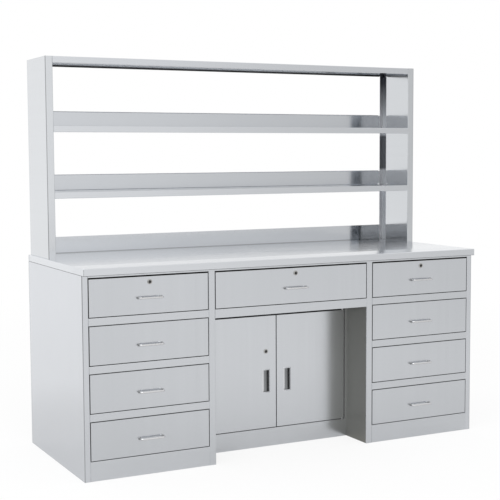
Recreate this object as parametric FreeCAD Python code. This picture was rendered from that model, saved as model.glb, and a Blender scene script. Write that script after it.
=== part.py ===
"""Stainless steel reagent drawer cabinet: two four-drawer pedestals, a wide
middle drawer over a kneehole cupboard, a sheet-covered worktop and an open
reagent rack that stands along the back of the worktop.

Units are millimetres.  X runs along the width, the front faces -Y and Z is up.
The origin lies on the floor, under the middle of the overall box.
"""
import FreeCAD, Part
import math
import os

Vec = FreeCAD.Vector

# ---------------------------------------------------------------- overall sizes
body_width = 1800.0
body_depth = 688.0
bench_height = 810.0
sheet = 1.2
bend_radius = 2.0

# ---------------------------------------------------------------- worktop
worktop_overhang = 22.0
worktop_apron = 28.0
worktop_sheet = 1.5
worktop_edge_radius = 3.0
worktop_side_seam = 1.5
worktop_upstand = 71.0

# ---------------------------------------------------------------- reagent rack
rack_height = 815.0
rack_depth = 255.0
rack_end_inset = 10.0
rack_front_flange = 31.0
rack_flange_return = 12.0
rack_rear_flange = 20.0
rack_lip = 26.0
rack_lip_return = 12.0
rack_top_rear_lip = 24.0
rack_upstand = 67.0
rack_hem = 6.0
rack_lower_shelf_height = 270.0
rack_upper_shelf_height = 538.0
rack_foot_width = 18.0
rack_deck_clearance = 2.0

# ---------------------------------------------------------------- pedestals
pedestal_width = 547.0
outer_stile = 24.0
inner_stile = 28.0
stile_return = 42.0
rear_flange = 16.0
foot_flange = 20.0
base_band_height = 76.0
rail_height = 30.0
rail_depth = 20.0
top_rail_height = 8.0
drawer_rows = 4

# ---------------------------------------------------------------- middle bay
centre_rail_height = 36.0
centre_pan_drop = 24.0

# ---------------------------------------------------------------- drawers
front_gap = 2.0
top_front_gap = 5.0
front_thickness = 18.0
front_lip = 12.0
front_edge_radius = 1.5
box_length = 600.0
box_floor_rise = 9.0
box_top_gap = 43.0
drawer_travel = 400.0

# ---------------------------------------------------------------- runners
runner_depth = 12.0
runner_inner_height = 7.0
runner_start_gap = 3.0
runner_play = 0.4
runner_side_play = 0.5
runner_mouth_gap = 1.0

# ---------------------------------------------------------------- bow handles
handle_length = 104.0
handle_rod = 8.0
handle_projection = 24.0
handle_bend = 7.0
handle_bend_runs = 3
handle_sides = 12
handle_foot_diameter = 12.0
handle_foot_thickness = 2.0
handle_drop = 9.0
centre_fitting_offset = 10.0

# ---------------------------------------------------------------- cam locks
lock_drop = 22.0
lock_bezel_diameter = 20.0
lock_bezel_sides = 24
lock_bezel_height = 2.0
lock_barrel_width = 15.0
lock_barrel_sides = 12
lock_hole_clearance = 0.1
lock_barrel_length = 20.5
lock_nut_width = 20.0
lock_nut_thickness = 4.0
lock_nut_sides = 6
plug_diameter = 12.0
plug_clearance = 0.05
cam_thickness = 2.0
cam_width = 12.0
cam_reach = 32.0
cam_gap = 0.8
cam_chamfer = 3.0
cam_swing = 90.0
key_slot_width = 2.0
key_slot_length = 7.5
key_slot_depth = 1.4

# ---------------------------------------------------------------- kneehole cupboard
cupboard_recess = 160.0
cupboard_frame_depth = 24.0
cupboard_right_stile = 10.0
cupboard_top_bar = 35.0
meeting_offset = 6.0
meeting_gap = 3.0
door_side_gap = 2.5
door_bottom_gap = 2.5
door_top_gap = 6.0
door_thickness = 18.0
door_lip = 15.0
cupboard_shelf_height = 330.0
cupboard_shelf_setback = 34.0
cupboard_shelf_lip = 25.0

# ---------------------------------------------------------------- door fittings
pivot_inset = 6.0
pivot_diameter = 6.0
pivot_clearance = 0.08
pivot_length = 16.0
pivot_shoulder_diameter = 11.0
pivot_seat_gap = 0.3
pull_offset = 50.0
pull_width = 30.0
pull_height = 92.0
pull_depth = 13.0
pull_wall = 0.8
pull_rim = 2.5
pull_middle_height = 279.0
cut_out_clearance = 0.1
door_lock_height = 405.0
door_cam_overlap = 10.0

# ---------------------------------------------------------------- working values
cut_margin = 1.0
tolerance = 0.01
mitred = 1

# ---------------------------------------------------------------- derived places
overall_depth = body_depth + max(worktop_overhang, handle_projection)
back_y = overall_depth / 2
front_y = back_y - body_depth
rear_flange_y = back_y - 2 * sheet
left_x = -body_width / 2
right_x = body_width / 2
carcass_top = bench_height - worktop_apron
bay_left = left_x + pedestal_width
bay_right = right_x - pedestal_width
opening_left = left_x + outer_stile
opening_right = left_x + pedestal_width - inner_stile
opening_top = carcass_top - top_rail_height
opening_height = (opening_top - base_band_height - (drawer_rows - 1) * rail_height) / drawer_rows
row_pitch = opening_height + rail_height
top_row_bottom = base_band_height + (drawer_rows - 1) * row_pitch
centre_rail_bottom = top_row_bottom - centre_rail_height
centre_pan_z = top_row_bottom - centre_pan_drop
rack_front_y = back_y - rack_depth
rack_top_z = bench_height + rack_height
rack_left_x = left_x + rack_end_inset
rack_right_x = right_x - rack_end_inset
cupboard_y = front_y + cupboard_recess
cupboard_left_stile = cupboard_right_stile + 2 * meeting_offset
cupboard_top = centre_pan_z - sheet
window_left = bay_left + cupboard_left_stile
window_right = bay_right - cupboard_right_stile
window_top = cupboard_top - cupboard_top_bar
meeting_x = (bay_left + bay_right) / 2 + meeting_offset
door_bottom = base_band_height + door_bottom_gap
door_top = window_top - door_top_gap
lock_plug_back = lock_barrel_length + cam_gap


# ---------------------------------------------------------------- basic shapes
def block(x0, x1, y0, y1, z0, z1):
    """Box between two corners."""
    return Part.makeBox(x1 - x0, y1 - y0, z1 - z0, Vec(x0, y0, z0))


def joined(pieces):
    """Fuse pieces into one solid with merged faces."""
    whole = pieces[0].fuse(pieces[1:])
    return whole.removeSplitter()


def rod_y(x, z, y0, y1, diameter):
    """Round bar along Y."""
    return Part.makeCylinder(diameter / 2, y1 - y0, Vec(x, y0, z), Vec(0, 1, 0))


def rod_z(x, y, z0, z1, diameter):
    """Round bar along Z."""
    return Part.makeCylinder(diameter / 2, z1 - z0, Vec(x, y, z0), Vec(0, 0, 1))


def facetted_ring(x, y, z, diameter, sides):
    """Many-sided outline round a Y axis, with the diameter measured over its flats."""
    step = 2 * math.pi / sides
    radius = diameter / 2 / math.cos(step / 2)
    points = []
    for index in range(sides + 1):
        angle = (index + 0.5) * step
        points.append(Vec(x + radius * math.cos(angle), y, z + radius * math.sin(angle)))
    return Part.makePolygon(points)


def facetted_rod_y(x, z, y0, y1, diameter, sides):
    """Many-sided bar along Y."""
    return Part.Face(facetted_ring(x, y0, z, diameter, sides)).extrude(Vec(0, y1 - y0, 0))


def bent_wire(corners, radius):
    """Open outline in the XY plane with a round bend at each inner corner."""
    points = [Vec(u, v, 0) for u, v in corners]
    edges = []
    start = points[0]
    for before, corner, after in zip(points, points[1:], points[2:]):
        back = (before - corner).normalize()
        ahead = (after - corner).normalize()
        half = back.getAngle(ahead) / 2
        trim = radius / math.tan(half)
        first = corner + back * trim
        last = corner + ahead * trim
        inward = (back + ahead).normalize()
        middle = corner + inward * (radius / math.sin(half) - radius)
        edges.append(Part.makeLine(start, first))
        edges.append(Part.Arc(first, middle, last).toShape())
        start = last
    edges.append(Part.makeLine(start, points[-1]))
    return Part.Wire(edges)


def bent_sheet(corners, thickness, radius, length):
    """Folded strip extruded along Z; the metal lies right of the outline."""
    face = bent_wire(corners, radius).makeOffset2D(thickness, 0, True, True)
    return face.extrude(Vec(0, 0, length))


def creased_sheet(corners, thickness, length):
    """Folded strip with tight creases, extruded along Z; the metal lies right of the outline."""
    line = Part.makePolygon([Vec(u, v, 0) for u, v in corners])
    face = line.makeOffset2D(thickness, 2, True, True)
    return face.extrude(Vec(0, 0, length))


def along_x(shape, x0):
    """Turn a profile drawn in (Y, Z) so that it runs along X from x0."""
    turn = FreeCAD.Rotation(Vec(0, 1, 0), Vec(0, 0, 1), Vec(1, 0, 0), "ZXY")
    shape.Placement = FreeCAD.Placement(Vec(x0, 0, 0), turn)
    return shape


def along_y(shape, y0):
    """Turn a profile drawn in (Z, X) so that it runs along Y from y0."""
    turn = FreeCAD.Rotation(Vec(0, 0, 1), Vec(1, 0, 0), Vec(0, 1, 0), "ZXY")
    shape.Placement = FreeCAD.Placement(Vec(0, y0, 0), turn)
    return shape


def along_z(shape, z0):
    """Lift a profile drawn in (X, Y) to z0."""
    shape.Placement = FreeCAD.Placement(Vec(0, 0, z0), FreeCAD.Rotation())
    return shape


def mirrored(shape, plane_x=0.0):
    """Opposite-hand copy about a plane across X."""
    return shape.mirror(Vec(plane_x, 0, 0), Vec(1, 0, 0))


def save(shape, node):
    """Write one node."""
    shape.exportStep("parts/" + node + ".step")


# ---------------------------------------------------------------- worktop pieces
def worktop():
    """Folded cover sheet with aprons all round and a raised rear edge."""
    low = carcass_top + worktop_side_seam
    outer = block(left_x, right_x, front_y - worktop_overhang, back_y, low, bench_height)
    rounded = []
    for edge in outer.Edges:
        box = edge.BoundBox
        on_top = box.ZMin > bench_height - tolerance and box.YMin < back_y - tolerance
        upright = box.ZLength > tolerance and box.YMax < back_y - tolerance
        if on_top or upright:
            rounded.append(edge)
    outer = outer.makeFillet(worktop_edge_radius, rounded)
    t = worktop_sheet
    hollow = block(left_x + t, right_x - t, front_y - worktop_overhang + t, back_y - t,
                   low - cut_margin, bench_height - t)
    upstand_left = rack_left_x + rack_rear_flange
    upstand_right = rack_right_x - rack_rear_flange
    upstand = block(upstand_left, upstand_right, back_y - t, back_y,
                    bench_height - t, bench_height + worktop_upstand)
    hem = block(upstand_left, upstand_right, back_y - rack_hem, back_y,
                bench_height + worktop_upstand - t, bench_height + worktop_upstand)
    return joined([outer.cut(hollow), upstand, hem])


def worktop_board():
    """Stiffening board bonded inside the cover sheet."""
    t = worktop_sheet
    return block(left_x + t, right_x - t, front_y - worktop_overhang + t, back_y - t,
                 carcass_top, bench_height - t)


# ---------------------------------------------------------------- rack pieces
def rack_side():
    """Left end of the rack: web, front flange with return, rear flange and foot."""
    y0 = rack_front_y
    x0 = rack_left_x
    corners = [(x0 + rack_front_flange, y0 + rack_flange_return), (x0 + rack_front_flange, y0),
               (x0, y0), (x0, back_y), (x0 + rack_rear_flange, back_y)]
    post = along_z(bent_sheet(corners, sheet, bend_radius, rack_height), bench_height)
    foot = block(x0 + sheet / 2, x0 + rack_foot_width, y0 + rack_flange_return, back_y - 2 * bend_radius,
                 bench_height, bench_height + sheet)
    return joined([post, foot])


def rack_deck(surface_z):
    """Shelf deck between the webs, clear of the front and rear flanges."""
    x0 = rack_left_x + sheet
    x1 = rack_right_x - sheet
    y0 = rack_front_y + rack_flange_return + rack_deck_clearance
    y1 = back_y - 2 * bend_radius
    return block(x0, x1, y0, y1, surface_z - sheet, surface_z)


def rack_deck_cheeks(surface_z):
    """Turned-down ends of a deck, welded to the webs."""
    y0 = rack_front_y + rack_flange_return + rack_deck_clearance
    y1 = back_y - 2 * bend_radius
    left = block(rack_left_x + sheet, rack_left_x + 2 * sheet, y0, y1, surface_z - rack_lip, surface_z)
    return [left, mirrored(left)]


def rack_shelf(rise):
    """Shelf with a folded front lip and a hemmed upstand along its back."""
    z = bench_height + rise
    y0 = rack_front_y
    y1 = back_y - sheet
    corners = [(y0 + rack_lip_return, z - rack_lip), (y0, z - rack_lip), (y0, z), (y1, z),
               (y1, z + rack_upstand - sheet), (y1 - rack_hem, z + rack_upstand - sheet)]
    x0 = rack_left_x + rack_front_flange
    tray = along_x(bent_sheet(corners, sheet, bend_radius, rack_right_x - rack_front_flange - x0), x0)
    upstand = block(rack_left_x + rack_rear_flange, rack_right_x - rack_rear_flange, y1, back_y,
                    z + bend_radius, z + rack_upstand - bend_radius)
    return joined([tray, upstand, rack_deck(z)] + rack_deck_cheeks(z))


def rack_top():
    """Top tray with lips at the front and back."""
    z = rack_top_z
    y0 = rack_front_y
    corners = [(y0 + rack_lip_return, z - rack_lip), (y0, z - rack_lip), (y0, z), (back_y, z),
               (back_y, z - rack_top_rear_lip), (back_y - rack_lip_return, z - rack_top_rear_lip)]
    x0 = rack_left_x + rack_front_flange
    tray = along_x(bent_sheet(corners, sheet, bend_radius, rack_right_x - rack_front_flange - x0), x0)
    x0 = rack_left_x + rack_rear_flange
    rear_lip = block(x0, -x0, back_y - sheet, back_y, z - rack_top_rear_lip + bend_radius, z - bend_radius)
    rear_edge = block(x0, -x0, back_y - 2 * bend_radius, back_y - bend_radius, z - sheet, z)
    return joined([tray, rear_lip, rear_edge, rack_deck(z)] + rack_deck_cheeks(z))


# ---------------------------------------------------------------- pedestal pieces
def outer_side():
    """Left outer wall whose front edge folds round to form the outer stile."""
    y1 = back_y - sheet
    corners = [(opening_left, front_y + stile_return), (opening_left, front_y), (left_x, front_y),
               (left_x, y1), (left_x + rear_flange, y1)]
    wall = along_z(bent_sheet(corners, sheet, bend_radius, carcass_top), 0)
    foot = block(left_x + sheet / 2, left_x + foot_flange, front_y + stile_return,
                 y1 - 2 * bend_radius, 0, sheet)
    return joined([wall, foot])


def inner_side():
    """Left inner wall whose front edge forms the stile beside the kneehole."""
    y1 = back_y - sheet
    corners = [(-opening_right, front_y + stile_return), (-opening_right, front_y), (-bay_left, front_y),
               (-bay_left, y1), (-bay_left + rear_flange, y1)]
    wall = mirrored(along_z(bent_sheet(corners, sheet, bend_radius, carcass_top), 0))
    foot = block(bay_left - foot_flange, bay_left - sheet / 2, front_y + stile_return,
                 y1 - 2 * bend_radius, 0, sheet)
    notch = block(opening_right - cut_margin, bay_left + cut_margin, front_y - cut_margin,
                  front_y + rail_depth, opening_top, carcass_top + cut_margin)
    return joined([wall, foot]).cut(notch)


def base_tray():
    """Left pedestal floor with the deep band that closes it down to the ground."""
    corners = [(front_y + rail_depth, 0), (front_y, 0), (front_y, base_band_height),
               (front_y + stile_return + bend_radius, base_band_height)]
    band = along_x(bent_sheet(corners, sheet, bend_radius, opening_right - opening_left), opening_left)
    floor = block(left_x + sheet, bay_left - sheet, front_y + stile_return, rear_flange_y - sheet,
                  base_band_height - sheet, base_band_height)
    return joined([band, floor])


def drawer_rail(row):
    """Channel rail above the given row of the left pedestal, row 0 being the lowest."""
    z0 = base_band_height + row * row_pitch + opening_height
    z1 = z0 + rail_height
    corners = [(front_y + rail_depth, z0), (front_y, z0), (front_y, z1), (front_y + rail_depth, z1)]
    return along_x(bent_sheet(corners, sheet, bend_radius, opening_right - opening_left), opening_left)


def drawer_rails():
    """Rails of the left pedestal as one group."""
    return Part.makeCompound([drawer_rail(row) for row in range(drawer_rows - 1)])


def front_top_rail():
    """Shallow channel under the front of the worktop that the lock cams catch."""
    z0 = opening_top
    z1 = carcass_top
    y0 = front_y
    y1 = front_y + rail_depth
    corners = [(y1, z1), (y1, z0), (y0, z0), (y0, z1)]
    return along_x(creased_sheet(corners, sheet, -2 * opening_left), opening_left)


def back_panel():
    """Flat sheet that closes the pedestals and the middle bay at the back."""
    return block(left_x, right_x, back_y - sheet, back_y, 0, carcass_top)


def centre_pan():
    """Front rail of the middle bay folded on into the pan under its drawer."""
    z0 = centre_rail_bottom
    z1 = top_row_bottom
    y0 = front_y
    y1 = front_y + rail_depth
    corners = [(y1, z0), (y0, z0), (y0, z1), (y1, z1), (y1, centre_pan_z - sheet)]
    rail = along_x(bent_sheet(corners, sheet, bend_radius, bay_right - bay_left), bay_left)
    pan = block(bay_left, bay_right, y1 - sheet / 2, back_y - sheet, centre_pan_z - sheet, centre_pan_z)
    return joined([rail, pan])


# ---------------------------------------------------------------- cupboard pieces
def cupboard_frame():
    """Plinth, stiles and head folded as one frame round the two doors."""
    y0 = cupboard_y
    y1 = cupboard_y + cupboard_frame_depth
    whole = block(bay_left, bay_right, y0, y1, 0, cupboard_top)
    window = block(window_left, window_right, y0 - cut_margin, y1 + cut_margin,
                   base_band_height, window_top)
    t = sheet
    inside = block(bay_left + t, bay_right - t, y0 + t, y1 + cut_margin, t, cupboard_top - t)
    rim = block(window_left - t, window_right + t, y0, y1 + 2 * cut_margin,
                base_band_height - t, window_top + t)
    return whole.cut(window).cut(inside.cut(rim))


def cupboard_floor():
    """Floor tray behind the plinth with a folded-down rear edge."""
    y0 = cupboard_y + cupboard_frame_depth
    y1 = back_y - sheet
    z = base_band_height
    low = z - rail_height
    corners = [(y0 + rail_depth, low), (y0, low), (y0, z), (y1, z), (y1, low)]
    return along_x(creased_sheet(corners, sheet, bay_right - bay_left), bay_left)


def cupboard_shelf():
    """Fixed shelf with a lip down at the front and the back."""
    y0 = cupboard_y + cupboard_shelf_setback
    y1 = back_y - sheet
    z = cupboard_shelf_height
    low = z - cupboard_shelf_lip
    corners = [(y0 + rail_depth, low), (y0, low), (y0, z), (y1, z), (y1, low)]
    return along_x(creased_sheet(corners, sheet, bay_right - bay_left), bay_left)


def folded_pan(x0, x1, y0, depth, z0, z1, lip):
    """Door or drawer front: skin, four returns and narrow lips round the back."""
    outer = block(x0, x1, y0, y0 + depth, z0, z1)
    front_edges = [edge for edge in outer.Edges if edge.BoundBox.YMax < y0 + tolerance]
    outer = outer.makeFillet(front_edge_radius, front_edges)
    t = sheet
    hollow = block(x0 + t, x1 - t, y0 + t, y0 + depth - t, z0 + t, z1 - t)
    access = block(x0 + lip, x1 - lip, y0 + depth - 2 * t, y0 + depth + cut_margin, z0 + lip, z1 - lip)
    return outer.cut(hollow).cut(access)


def door_span(side):
    """X range of the left (-1) or right (+1) door."""
    if side < 0:
        return window_left + door_side_gap, meeting_x - meeting_gap / 2
    return meeting_x + meeting_gap / 2, window_right - door_side_gap


def pivot_place(side):
    """X and Y of a door's pivot axis."""
    x0, x1 = door_span(side)
    x = x0 + pivot_inset if side < 0 else x1 - pivot_inset
    return x, cupboard_y + pivot_inset


def pull_middle(side):
    """Middle of a door's recessed pull across the width."""
    return meeting_x + side * pull_offset


def door_panel(side):
    """Hinged door with pivot holes, a cut-out for the pull and, on the left, the lock hole."""
    x0, x1 = door_span(side)
    panel = folded_pan(x0, x1, cupboard_y, door_thickness, door_bottom, door_top, door_lip)
    px, py = pivot_place(side)
    panel = panel.cut(rod_z(px, py, door_bottom - cut_margin, door_top + cut_margin,
                            pivot_diameter + 2 * pivot_clearance))
    half_w = pull_width / 2 + cut_out_clearance
    half_h = pull_height / 2 + cut_out_clearance
    mid = pull_middle(side)
    opening = block(mid - half_w, mid + half_w, cupboard_y - cut_margin, cupboard_y + 2 * sheet,
                    pull_middle_height - half_h, pull_middle_height + half_h)
    panel = panel.cut(opening)
    if side < 0:
        panel = panel.cut(lock_hole(mid, cupboard_y, door_lock_height))
    return panel


def door_pull(side):
    """Pressed rectangular cup with a thin rim that lies on the door."""
    mid = pull_middle(side)
    half_w = pull_width / 2
    half_h = pull_height / 2
    y0 = cupboard_y
    rim = block(mid - half_w - pull_rim, mid + half_w + pull_rim, y0 - pull_wall, y0,
                pull_middle_height - half_h - pull_rim, pull_middle_height + half_h + pull_rim)
    cup = block(mid - half_w, mid + half_w, y0 - pull_wall, y0 + pull_depth,
                pull_middle_height - half_h, pull_middle_height + half_h)
    back_edges = [edge for edge in cup.Edges if edge.BoundBox.YMin > y0 + pull_depth - tolerance]
    cup = cup.makeFillet(bend_radius, back_edges)
    inner_y = y0 + pull_depth - pull_wall
    inside = block(mid - half_w + pull_wall, mid + half_w - pull_wall, y0 - pull_wall - cut_margin, inner_y,
                   pull_middle_height - half_h + pull_wall, pull_middle_height + half_h - pull_wall)
    inner_edges = [edge for edge in inside.Edges if edge.BoundBox.YMin > inner_y - tolerance]
    inside = inside.makeFillet(bend_radius - pull_wall, inner_edges)
    return joined([rim, cup]).cut(inside)


def door_pivots():
    """Four shouldered pins, welded to the frame above and below the doors."""
    pins = []
    for side in (-1, 1):
        px, py = pivot_place(side)
        low = rod_z(px, py, base_band_height, door_bottom + pivot_length, pivot_diameter)
        low_shoulder = rod_z(px, py, base_band_height, door_bottom - pivot_seat_gap, pivot_shoulder_diameter)
        high = rod_z(px, py, door_top - pivot_length, window_top, pivot_diameter)
        high_shoulder = rod_z(px, py, door_top + pivot_seat_gap, window_top, pivot_shoulder_diameter)
        pins.append(joined([low, low_shoulder]))
        pins.append(joined([high, high_shoulder]))
    return Part.makeCompound(pins)


# ---------------------------------------------------------------- drawer pieces
class DrawerPlace:
    """Where one drawer sits: the carcass opening round it and the row it is in."""

    def __init__(self, name, x0, x1, row, fitting_shift=0.0):
        self.name = name
        self.x0 = x0
        self.x1 = x1
        self.z0 = base_band_height + row * row_pitch
        self.z1 = self.z0 + opening_height
        self.top_row = row == drawer_rows - 1
        self.fitting_x = (x0 + x1) / 2 + fitting_shift

    def front_bottom(self):
        """Lower edge of the drawer front."""
        return self.z0 + front_gap

    def front_top(self):
        """Upper edge of the drawer front."""
        return self.z1 - (top_front_gap if self.top_row else front_gap)

    def box_top(self):
        """Upper edge of the box, which stays under the lock and the rail above."""
        return self.z1 - box_top_gap


def drawer_places():
    """All drawers: four per pedestal, numbered from the top, and the wide middle one."""
    places = [DrawerPlace("centre_drawer", bay_left, bay_right, drawer_rows - 1, centre_fitting_offset)]
    for number in range(1, drawer_rows + 1):
        row = drawer_rows - number
        places.append(DrawerPlace("left_drawer_%d" % number, opening_left, opening_right, row))
        places.append(DrawerPlace("right_drawer_%d" % number, -opening_right, -opening_left, row))
    return places


def runner_channel(x_wall, place):
    """C-shaped channel open towards +X, fixed with its web on the plane x_wall."""
    z_mid = place.box_top() - runner_inner_height / 2 + runner_play
    z0 = z_mid - runner_inner_height / 2 - sheet
    z1 = z_mid + runner_inner_height / 2 + sheet
    corners = [(x_wall + runner_depth, z0), (x_wall, z0), (x_wall, z1), (x_wall + runner_depth, z1)]
    y0 = front_y + front_thickness + runner_start_gap
    outline = [(z, x) for x, z in reversed(corners)]
    return along_y(creased_sheet(outline, sheet, back_y - sheet - y0), y0)


def runner_channels(places):
    """The fixed runner channels of every drawer."""
    rails = []
    for place in places:
        rails.append(runner_channel(place.x0, place))
        rails.append(mirrored(runner_channel(-place.x1, place)))
    return Part.makeCompound(rails)


def drawer_front(place):
    """Folded front; the top row has a hole for its lock."""
    panel = folded_pan(place.x0 + front_gap, place.x1 - front_gap, front_y, front_thickness,
                       place.front_bottom(), place.front_top(), front_lip)
    if place.top_row:
        panel = panel.cut(lock_hole(place.fitting_x, front_y, place.front_top() - lock_drop))
    return panel


def box_side(hook_x, wall_x, floor, top):
    """Left wall of a drawer box, its top edge folded outwards and down as a hook."""
    hook_z = top - (runner_inner_height - 2 * runner_play)
    corners = [(hook_x, hook_z), (hook_x, top), (wall_x + sheet, top), (wall_x + sheet, floor)]
    outline = [(z, x) for x, z in corners]
    return along_y(creased_sheet(outline, -sheet, box_length), front_y + front_thickness)


def drawer_box(place):
    """Open box of five sheets; the hooks of its side walls slide in the channels."""
    top = place.box_top()
    floor = place.z0 + box_floor_rise
    hook = sheet + runner_side_play
    wall = runner_depth + runner_mouth_gap
    left = box_side(place.x0 + hook, place.x0 + wall, floor, top)
    right = mirrored(box_side(-place.x1 + hook, -place.x1 + wall, floor, top))
    x0 = place.x0 + wall + sheet
    x1 = place.x1 - wall - sheet
    y0 = front_y + front_thickness
    y1 = y0 + box_length
    base = block(x0, x1, y0, y1, floor, floor + sheet)
    front = block(x0, x1, y0, y0 + sheet, floor + sheet, top)
    rear = block(x0, x1, y1 - sheet, y1, floor + sheet, top)
    return Part.makeCompound([left, right, base, front, rear])


def handle_path(x0, x1, bar_y, z):
    """Centre line of a bow handle, its two bends as short runs."""
    points = [Vec(x0, front_y, z)]
    quarter = math.pi / 2
    for centre_x, start in ((x0 + handle_bend, 2 * quarter), (x1 - handle_bend, 3 * quarter)):
        for step in range(handle_bend_runs + 1):
            angle = start + quarter * step / handle_bend_runs
            points.append(Vec(centre_x + handle_bend * math.cos(angle),
                              bar_y + handle_bend + handle_bend * math.sin(angle), z))
    points.append(Vec(x1, front_y, z))
    return Part.makePolygon(points)


def drawer_handle(place):
    """Bow handle of round bar with a small round foot at each end."""
    z = (place.front_bottom() + place.front_top()) / 2 - handle_drop
    half = handle_length / 2 - handle_rod / 2
    x0 = place.fitting_x - half
    x1 = place.fitting_x + half
    bar_y = front_y - handle_projection + handle_rod / 2
    ring = facetted_ring(x0, front_y, z, handle_rod, handle_sides)
    pieces = [handle_path(x0, x1, bar_y, z).makePipeShell([ring], True, False, mitred)]
    for x in (x0, x1):
        pieces.append(facetted_rod_y(x, z, front_y - handle_foot_thickness, front_y, handle_foot_diameter,
                                     handle_sides))
    return joined(pieces)


# ---------------------------------------------------------------- lock pieces
def lock_housing(x, y, z):
    """Many-sided bezel and barrel with a hexagonal nut behind the skin, bored for the plug."""
    bezel = facetted_rod_y(x, z, y - lock_bezel_height, y, lock_bezel_diameter, lock_bezel_sides)
    barrel = facetted_rod_y(x, z, y, y + lock_barrel_length, lock_barrel_width, lock_barrel_sides)
    nut = facetted_rod_y(x, z, y + sheet, y + sheet + lock_nut_thickness, lock_nut_width, lock_nut_sides)
    bore = rod_y(x, z, y - lock_bezel_height - cut_margin, y + lock_barrel_length + cut_margin,
                 plug_diameter + 2 * plug_clearance)
    return joined([bezel, barrel, nut]).cut(bore)


def lock_hole(x, y, z):
    """Cutter for the hole that a lock's barrel passes through."""
    return facetted_rod_y(x, z, y - cut_margin, y + 2 * sheet, lock_barrel_width + 2 * lock_hole_clearance,
                          lock_barrel_sides)


def lock_cam(x, y, z, reach, turn):
    """Flat cam that hangs down, then turned about the plug's axis towards +X."""
    cam = block(x - cam_width / 2, x + cam_width / 2, y, y + cam_thickness, z - reach, z)
    corners = []
    for edge in cam.Edges:
        along_depth = edge.BoundBox.YLength > cam_thickness - tolerance
        if along_depth and edge.BoundBox.ZMax < z - tolerance:
            corners.append(edge)
    cam = cam.makeChamfer(cam_chamfer, corners)
    cam.rotate(Vec(x, y, z), Vec(0, -1, 0), turn)
    return cam


def lock_plug(x, y, z, reach, turn):
    """Turning plug with a key slot in its face and a cam at its back."""
    face = y - lock_bezel_height
    body = rod_y(x, z, face, y + lock_plug_back + cam_thickness, plug_diameter)
    cam = lock_cam(x, y + lock_plug_back, z, reach, turn)
    slot = block(x - key_slot_width / 2, x + key_slot_width / 2, face - cut_margin, face + key_slot_depth,
                 z - key_slot_length / 2, z + key_slot_length / 2)
    return joined([body, cam]).cut(slot)


def main():
    """Write every node."""
    os.makedirs("parts", exist_ok=True)
    save(worktop(), "worktop")
    save(worktop_board(), "worktop_board")
    save(rack_side(), "rack_left_side")
    save(mirrored(rack_side()), "rack_right_side")
    save(rack_top(), "rack_top")
    save(rack_shelf(rack_upper_shelf_height), "rack_upper_shelf")
    save(rack_shelf(rack_lower_shelf_height), "rack_lower_shelf")
    save(outer_side(), "left_outer_side")
    save(mirrored(outer_side()), "right_outer_side")
    save(inner_side(), "left_inner_side")
    save(mirrored(inner_side()), "right_inner_side")
    save(Part.makeCompound([base_tray(), mirrored(base_tray())]), "pedestal_base_trays")
    save(Part.makeCompound([drawer_rails(), mirrored(drawer_rails())]), "drawer_rails")
    save(front_top_rail(), "front_top_rail")
    save(back_panel(), "back_panel")
    save(centre_pan(), "centre_drawer_pan")
    save(cupboard_frame(), "cupboard_frame")
    save(cupboard_floor(), "cupboard_floor")
    save(cupboard_shelf(), "cupboard_shelf")
    save(door_pivots(), "door_pivots")
    places = drawer_places()
    save(runner_channels(places), "runner_channels")
    for place in places:
        save(drawer_front(place), place.name + "_front")
        save(drawer_box(place), place.name + "_box")
        save(drawer_handle(place), place.name + "_handle")
        if place.top_row:
            x = place.fitting_x
            z = place.front_top() - lock_drop
            save(lock_housing(x, front_y, z), place.name + "_lock_housing")
            save(lock_plug(x, front_y, z, cam_reach, cam_swing), place.name + "_lock_plug")
    for side, name in ((-1, "left_door"), (1, "right_door")):
        save(door_panel(side), name + "_panel")
        save(door_pull(side), name + "_pull")
    lock_x = pull_middle(-1)
    door_reach = meeting_x + meeting_gap / 2 + door_cam_overlap - lock_x
    save(lock_housing(lock_x, cupboard_y, door_lock_height), "left_door_lock_housing")
    save(lock_plug(lock_x, cupboard_y, door_lock_height, door_reach, 0), "left_door_lock_plug")


main()
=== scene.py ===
"""Stainless steel reagent drawer cabinet, finished and set up in a studio.

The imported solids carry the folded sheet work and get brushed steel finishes.
Bow handles, cam locks and recessed pulls are replaced by finer pieces.
"""
import logging
import math
from dataclasses import dataclass, field, replace
from enum import Enum
from typing import Iterable, Sequence, Union

import bmesh
import bpy
from mathutils import Matrix, Vector


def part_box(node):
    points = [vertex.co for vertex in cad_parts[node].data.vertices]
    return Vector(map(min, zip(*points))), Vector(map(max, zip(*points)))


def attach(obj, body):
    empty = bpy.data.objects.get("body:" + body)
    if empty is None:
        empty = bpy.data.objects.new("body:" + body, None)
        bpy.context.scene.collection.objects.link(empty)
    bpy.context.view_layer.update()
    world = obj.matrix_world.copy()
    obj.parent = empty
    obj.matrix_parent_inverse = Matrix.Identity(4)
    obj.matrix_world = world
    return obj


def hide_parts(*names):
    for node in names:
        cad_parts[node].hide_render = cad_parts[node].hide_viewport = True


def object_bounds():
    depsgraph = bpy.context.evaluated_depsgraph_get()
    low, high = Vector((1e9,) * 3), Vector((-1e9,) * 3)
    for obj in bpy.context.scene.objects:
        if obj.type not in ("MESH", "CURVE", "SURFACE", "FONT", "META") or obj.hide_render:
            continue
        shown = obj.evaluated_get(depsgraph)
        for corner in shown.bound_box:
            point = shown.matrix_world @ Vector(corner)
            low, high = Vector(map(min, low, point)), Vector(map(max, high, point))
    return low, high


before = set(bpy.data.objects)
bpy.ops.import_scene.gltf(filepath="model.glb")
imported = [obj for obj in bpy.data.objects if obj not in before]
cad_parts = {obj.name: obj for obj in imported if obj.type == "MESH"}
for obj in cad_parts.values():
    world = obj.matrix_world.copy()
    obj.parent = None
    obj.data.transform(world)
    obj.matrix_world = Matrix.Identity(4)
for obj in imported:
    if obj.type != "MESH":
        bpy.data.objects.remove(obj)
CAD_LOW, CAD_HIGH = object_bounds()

LOG = logging.getLogger("reagent_drawer_cabinet")
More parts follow.
